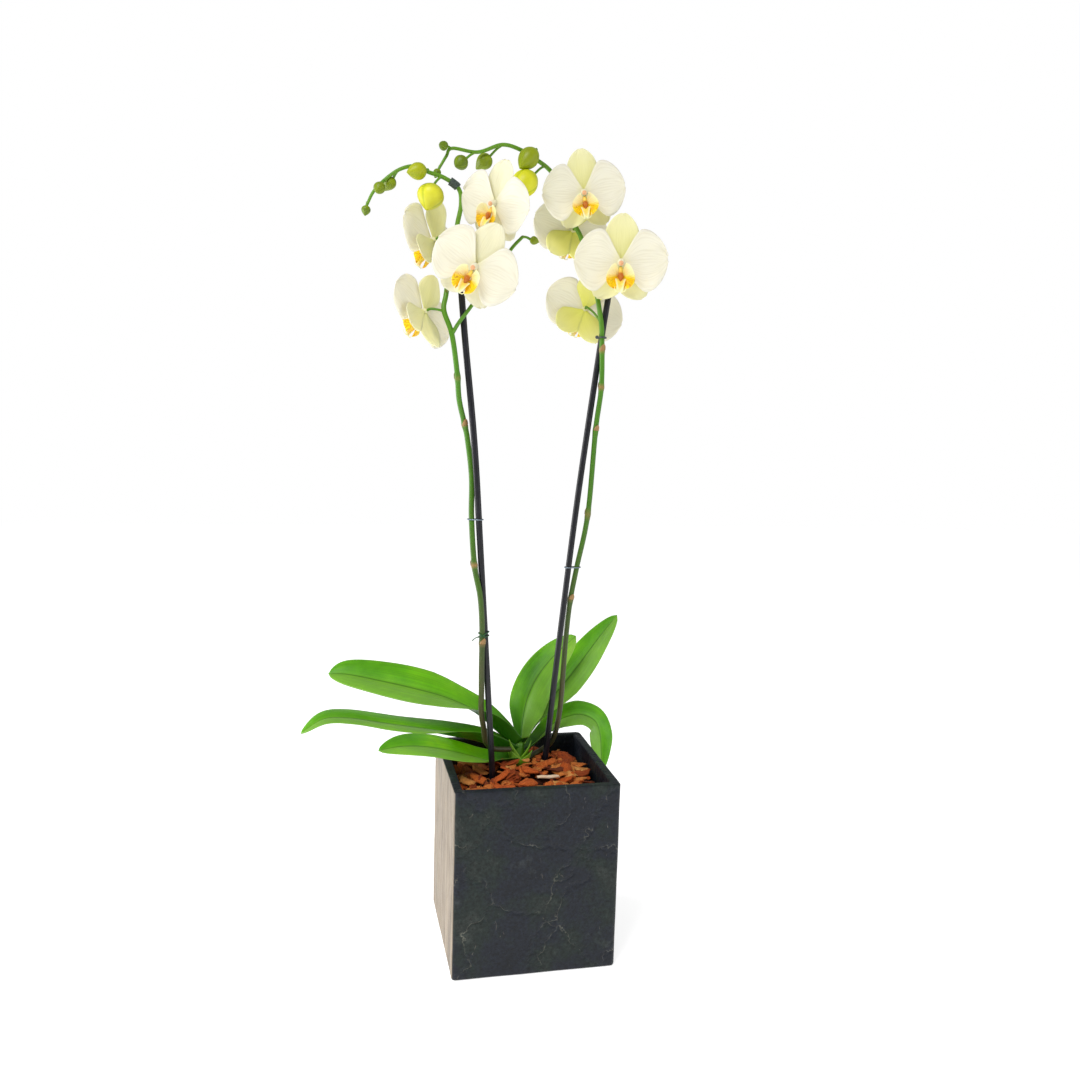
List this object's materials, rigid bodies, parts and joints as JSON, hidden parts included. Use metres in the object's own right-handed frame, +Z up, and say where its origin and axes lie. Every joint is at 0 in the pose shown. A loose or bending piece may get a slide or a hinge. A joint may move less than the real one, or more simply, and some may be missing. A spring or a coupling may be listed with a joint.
{
  "type": "potted orchid",
  "caption": "Moth orchid with white flowers and green buds on arching spikes tied to thin stakes, above strap leaves, in bark chips in a square dark planter.",
  "frame": {"origin": "centre of the planter's flat underside, on the surface it stands on", "axes": "+Z up along the plant, -Y out of the planter's front wall, +X to the right as seen from the front"},
  "size_m": [0.3756, 0.2069, 0.8434],
  "materials": {
    "slate_fibre_clay": "cast fibre-clay with a dark slate-look coat, matt with fine scratches",
    "pine_bark": "raw split pine bark, dry and rough",
    "split_wood": "pale freshly split wood, unfinished",
    "coated_rod": "steel rod in a smooth black plastic coat, satin",
    "leaf": "living leaf with a waxy sheen and fine lengthwise veins",
    "stem": "living green stem, browner towards its foot, satin",
    "petal": "living petal, creamy white with a velvet sheen and faint veins",
    "lip": "living orchid lip, yellow with red-brown stripes and white edges",
    "bud": "living closed bud, yellow-green, satin",
    "tie_wire": "thin grey-blue coated wire",
    "twist_tie": "green plastic strip over a thin wire",
    "clip_plastic": "dark grey moulded plastic, satin",
    "foam_sleeve": "dark grey-green foam sleeve, rough"
  },
  "bodies": {
    "root": {"planter": "slate_fibre_clay", "bark_bed": "pine_bark", "bark_chip_1": "pine_bark", "bark_chip_2": "pine_bark", "bark_chip_3": "pine_bark", "bark_chip_4": "pine_bark", "bark_chip_5": "pine_bark", "bark_chip_6": "pine_bark", "bark_chip_7": "pine_bark", "bark_chip_8": "pine_bark", "bark_chip_9": "pine_bark", "wood_stick": "split_wood", "stake_left": "coated_rod", "stake_right": "coated_rod", "crown": "leaf", "bud_left_1": "bud", "bud_left_2": "bud", "bud_left_3": "bud", "bud_left_4": "bud", "bud_left_5": "bud", "bud_left_6": "bud", "bud_right_1": "bud", "bud_right_2": "bud", "bud_right_3": "bud", "bud_right_4": "bud", "bud_right_5": "bud", "bud_right_6": "bud", "flower_left_front_lip": "lip", "flower_left_front_tepals": "petal", "flower_left_low_lip": "lip", "flower_left_low_tepals": "petal", "flower_left_side_lip": "lip", "flower_left_side_tepals": "petal", "flower_left_top_lip": "lip", "flower_left_top_tepals": "petal", "flower_right_back_lip": "lip", "flower_right_back_tepals": "petal", "flower_right_front_lip": "lip", "flower_right_front_tepals": "petal", "flower_right_low_lip": "lip", "flower_right_low_tepals": "petal", "flower_right_top_lip": "lip", "flower_right_top_tepals": "petal", "leaf_centre": "leaf", "leaf_left_front": "leaf", "leaf_left_lower": "leaf", "leaf_left_upper": "leaf", "leaf_right_lower": "leaf", "leaf_right_upper": "leaf", "spike_left": "stem", "spike_right": "stem", "stem_collar": "foam_sleeve", "tie_left_band": "tie_wire", "tie_left_twist": "twist_tie", "tie_right_band": "tie_wire", "tie_right_clip": "clip_plastic"}
  },
  "joints": []
}
